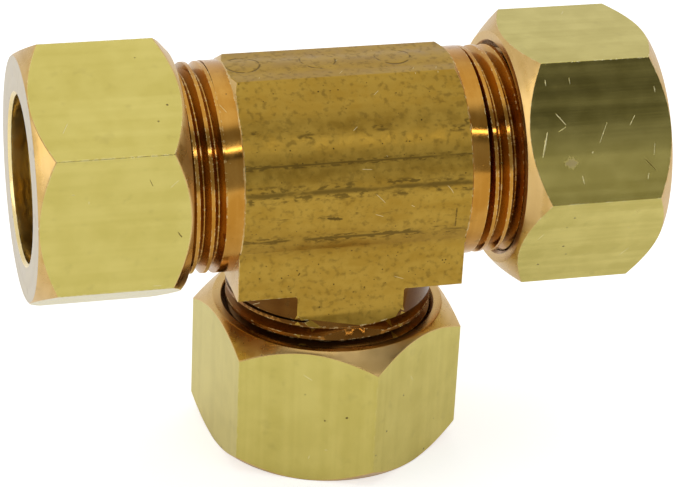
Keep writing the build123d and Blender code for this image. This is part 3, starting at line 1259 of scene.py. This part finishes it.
@dataclass
class TeeBody(BrassPiece):
    """The body: extruded skin, turned ends and spigots, three bores."""

    half_length: float = 11.3 * MM
    leg_depth: float = 10.45 * MM
    waist: float = 8.87 * MM
    bore: float = 9.3 * MM
    bore_start: float = 6.0 * MM
    spigot: float = 10.36 * MM
    spigot_clearance: float = 0.25 * MM
    land_end: float = 13.4 * MM
    run_out: float = 10.3 * MM
    end_slope: float = 0.5
    inward_slope: float = 0.3
    slack: float = 0.05 * MM

    def is_broken(self, middle: Vector) -> bool:
        """Whether an edge is on the extruded block."""
        offset = middle - CENTRE
        inside_block = abs(offset.x) < self.half_length + self.slack
        above_leg = offset.z > -self.leg_depth - self.slack
        clear = min(self.spigot_gap(port, middle) for port in Port) > self.spigot_clearance
        return inside_block and above_leg and clear

    def spigot_gap(self, port: Port, middle: Vector) -> float:
        """How far outside a spigot's own cylinder a point is, or 1 m behind the spigot."""
        return 1.0 if port.distance(middle) < 0 else port.radius(middle) - self.spigot

    def on_waist(self, middle: Vector, facing: Vector) -> bool:
        """Whether a face below the leg is on one of its flats, or where a flat runs out.

        Args:
            middle: the face's middle.
            facing: its normal.

        Returns:
            True where the extruded skin goes on.
        """
        flat = abs(abs(middle.y) - self.waist) < self.slack
        sloped = abs(facing.x) < 0.05 and abs(facing.y) > 0.3 and abs(facing.z) > 0.25
        upper = Port.BRANCH.distance(middle) < self.land_end
        return flat or (sloped and upper and Port.BRANCH.radius(middle) < self.run_out)

    def finish_of(self, middle: Vector, facing: Vector) -> tuple[BrassFinish, Port]:
        """The finish of a face.

        Args:
            middle: the face's middle.
            facing: its normal.

        Returns:
            The finish and the port it follows.
        """
        for port in Port:
            distance = port.distance(middle)
            inward = facing.dot(port.away(middle)) < self.inward_slope
            # Inner bores take the brightened bore finish: painted bounce light.
            if distance > self.bore_start and port.radius(middle) < self.bore and inward:
                return BRIGHTENED_BORE, port
            start = self.half_length if port is not Port.BRANCH else self.leg_depth
            if distance > start + self.slack:
                if port is not Port.BRANCH:
                    return THREAD, port
                if self.on_waist(middle, facing):
                    return SKIN, Port.RIGHT
                # Under the leg the thread and land take darker copies of the thread finish:
                # painted shade.
                return (SHADED_BRANCH_LAND if distance < self.land_end else SHADED_BRANCH_THREAD), port
        if abs(facing.x) > self.end_slope and abs(middle.x) > self.half_length / 2:
            return NUT_CHAMFER, (Port.RIGHT if middle.x > 0 else Port.LEFT)
        return SKIN, Port.RIGHT


@dataclass
class Ferrule:
    """A compression sleeve, kept as it is and given its finish."""

    node: str
    port: Port

    def build(self) -> None:
        """Dress the node."""
        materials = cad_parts[self.node].data.materials
        materials.clear()
        # The bore finish carries painted bounce light.
        materials.append(BRIGHTENED_BORE.material(self.port))
        LOG.info("%s: dressed", self.node)


# ---- studio ----


@dataclass
class Floor:
    """A plain pale floor under the fitting."""

    size: float = 6.0
    glow: float = 0.30
    shown_glow: float = 0.30
    colour: Colour = (0.86, 0.86, 0.85)
    roughness: float = 0.9

    def build(self) -> bpy.types.Object:
        """Lay the floor.

        Returns:
            The floor object.
        """
        bpy.ops.object.select_all(action="DESELECT")
        bpy.ops.mesh.primitive_plane_add(size=self.size, location=(0.0, 0.0, 0.0))
        floor = bpy.context.object
        floor.name = "floor"
        material = bpy.data.materials.new("Pale floor")
        material.use_nodes = True
        shader = material.node_tree.nodes["Principled BSDF"]
        shader.inputs["Base Color"].default_value = opaque(self.colour)
        shader.inputs["Roughness"].default_value = self.roughness
        desk = Desk(material.node_tree)
        seen = desk.add("ShaderNodeLightPath").outputs["Is Camera Ray"]
        shader.inputs["Emission Color"].default_value = opaque((1.0, 1.0, 1.0))
        glow = desk.math("MULTIPLY_ADD", seen, self.shown_glow, self.glow)
        desk.feed(shader.inputs["Emission Strength"], glow)
        floor.data.materials.append(material)
        LOG.info("floor laid")
        return floor


@dataclass(frozen=True)
class SoftBox:
    """A rectangular studio lamp, aimed at the fitting."""

    name: str
    azimuth: float
    elevation: float
    distance: float
    width: float
    height: float
    power: float

    def build(self) -> None:
        """Hang the lamp and aim it.  Azimuth 0 is straight in front, positive to the right."""
        heading = Vector((
            sin(radians(self.azimuth)) * cos(radians(self.elevation)),
            -cos(radians(self.azimuth)) * cos(radians(self.elevation)),
            sin(radians(self.elevation)),
        ))
        lamp = bpy.data.lights.new(self.name, "AREA")
        lamp.shape = "RECTANGLE"
        lamp.size = self.width
        lamp.size_y = self.height
        lamp.energy = self.power
        holder = bpy.data.objects.new(self.name, lamp)
        holder.location = CENTRE + heading * self.distance
        holder.rotation_euler = heading.to_track_quat("Z", "Y").to_euler()
        bpy.context.scene.collection.objects.link(holder)
        LOG.info("%s hung", self.name)


STRIP_LIGHT = SoftBox(
    "strip light", azimuth=18.0, elevation=41.0, distance=0.9, width=0.9, height=0.04, power=0.9,
)
LEFT_LIGHT = SoftBox(
    "left light", azimuth=-80.0, elevation=20.0, distance=1.0, width=0.7, height=0.7, power=2.0,
)


@dataclass
class Studio:
    """The room: bright above and behind, dim behind the camera.

    A band is given by the sine of the elevation where it starts to change and where it has
    changed.
    """

    overhead: float = 1.0
    back: float = 0.85
    room: float = 0.34
    dim: float = 0.05
    upper_room: float = 0.28
    below: float = 0.80
    shown: float = 1.0
    front_edge: tuple[float, float] = (0.25, -0.15)
    back_band: tuple[float, float] = (0.6, 0.95)
    below_band: tuple[float, float] = (-0.06, -0.14)
    dim_band: tuple[float, float] = (0.485, 0.535)
    upper_band: tuple[float, float] = (0.68, 0.76)
    overhead_band: tuple[float, float] = (0.86, 0.94)

    def build(self) -> None:
        """Set the world's light."""
        world = bpy.data.worlds.new("Studio")
        bpy.context.scene.world = world
        world.use_nodes = True
        world.node_tree.nodes.clear()
        desk = Desk(world.node_tree)
        heading = desk.add("ShaderNodeTexCoord").outputs["Generated"]
        _, y, z = desk.split(heading)
        to_front = desk.step(y, *self.front_edge)
        to_back = desk.math("SUBTRACT", 1.0, to_front)
        back_change = self.overhead - self.back
        back = desk.math("MULTIPLY_ADD", desk.step(z, *self.back_band), back_change, self.back)
        front = desk.times(self.banded(desk, z), to_front)
        level = desk.math("ADD", front, desk.times(back, to_back))
        seen = desk.add("ShaderNodeLightPath").outputs["Is Camera Ray"]
        unseen = desk.math("SUBTRACT", 1.0, seen)
        level = desk.math("MULTIPLY_ADD", seen, self.shown, desk.times(level, unseen))
        light = desk.add("ShaderNodeBackground")
        desk.feed(light.inputs["Color"], desk.join(level, level, level))
        output = desk.add("ShaderNodeOutputWorld")
        desk.feed(output.inputs["Surface"], light.outputs["Background"])
        bpy.context.scene.view_settings.view_transform = "Standard"
        LOG.info("studio lit")

    def banded(self, desk: Desk, height: Socket) -> Socket:
        """Brightness in front of the fitting by height.

        Args:
            desk: the world's desk.
            height: sine of the elevation.

        Returns:
            The brightness.
        """
        level: Value = self.room
        for band, change in (
            (self.below_band, self.below - self.room),
            (self.dim_band, self.dim - self.room),
            (self.upper_band, self.upper_room - self.dim),
            (self.overhead_band, self.overhead - self.upper_room),
        ):
            level = desk.math("MULTIPLY_ADD", desk.step(height, *band), change, level)
        return level


@dataclass(frozen=True)
class StudioCamera:
    """The camera, by the way it looks.  Angles in degrees, lengths in metres."""

    azimuth: float = 15.595
    elevation: float = 27.060
    roll: float = 2.822
    distance: float = 0.263097
    target: tuple[float, float, float] = (0.001052, 0.0, 0.0204447)
    lens: float = 139.151
    sensor: float = 36.0

    def build(self) -> None:
        """Place the camera and make it the scene's."""
        turn, tilt, roll = (radians(a) for a in (self.azimuth, self.elevation, self.roll))
        looking = Vector((sin(turn) * cos(tilt), cos(turn) * cos(tilt), -sin(tilt)))
        level_right = Vector((cos(turn), -sin(turn), 0.0))
        level_up = level_right.cross(looking)
        right = level_right * cos(roll) + level_up * sin(roll)
        up = level_up * cos(roll) - level_right * sin(roll)
        data = bpy.data.cameras.new("camera")
        data.lens = self.lens
        data.sensor_width = self.sensor
        data.sensor_fit = "HORIZONTAL"
        data.clip_start = 0.01
        data.dof.use_dof = False
        camera = bpy.data.objects.new("camera", data)
        matrix = Matrix((right, up, -looking)).transposed().to_4x4()
        matrix.translation = Vector(self.target) - looking * self.distance
        camera.matrix_world = matrix
        bpy.context.scene.collection.objects.link(camera)
        bpy.context.scene.camera = camera
        LOG.info("camera placed")


def main() -> None:
    """Build the fitting and its studio."""
    logging.basicConfig(level=logging.INFO, format="%(message)s")
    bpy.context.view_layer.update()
    StudioCamera().build()
    TeeBody("tee_body", Port.RIGHT, "tee").build()
    HexNut("left_nut", Port.LEFT, "left_nut_body", flat_finish=LEFT_NUT_FLAT).build()
    HexNut("right_nut", Port.RIGHT, "right_nut_body", flat_finish=RIGHT_NUT_FLAT).build()
    HexNut("branch_nut", Port.BRANCH, "branch_nut_body", threaded_end=BRANCH_NUT_START).build()
    for port in Port:
        Ferrule(f"{port.name.lower()}_ferrule", port).build()
    Floor().build()
    Studio().build()
    STRIP_LIGHT.build()
    LEFT_LIGHT.build()


if __name__ == "__main__":
    main()
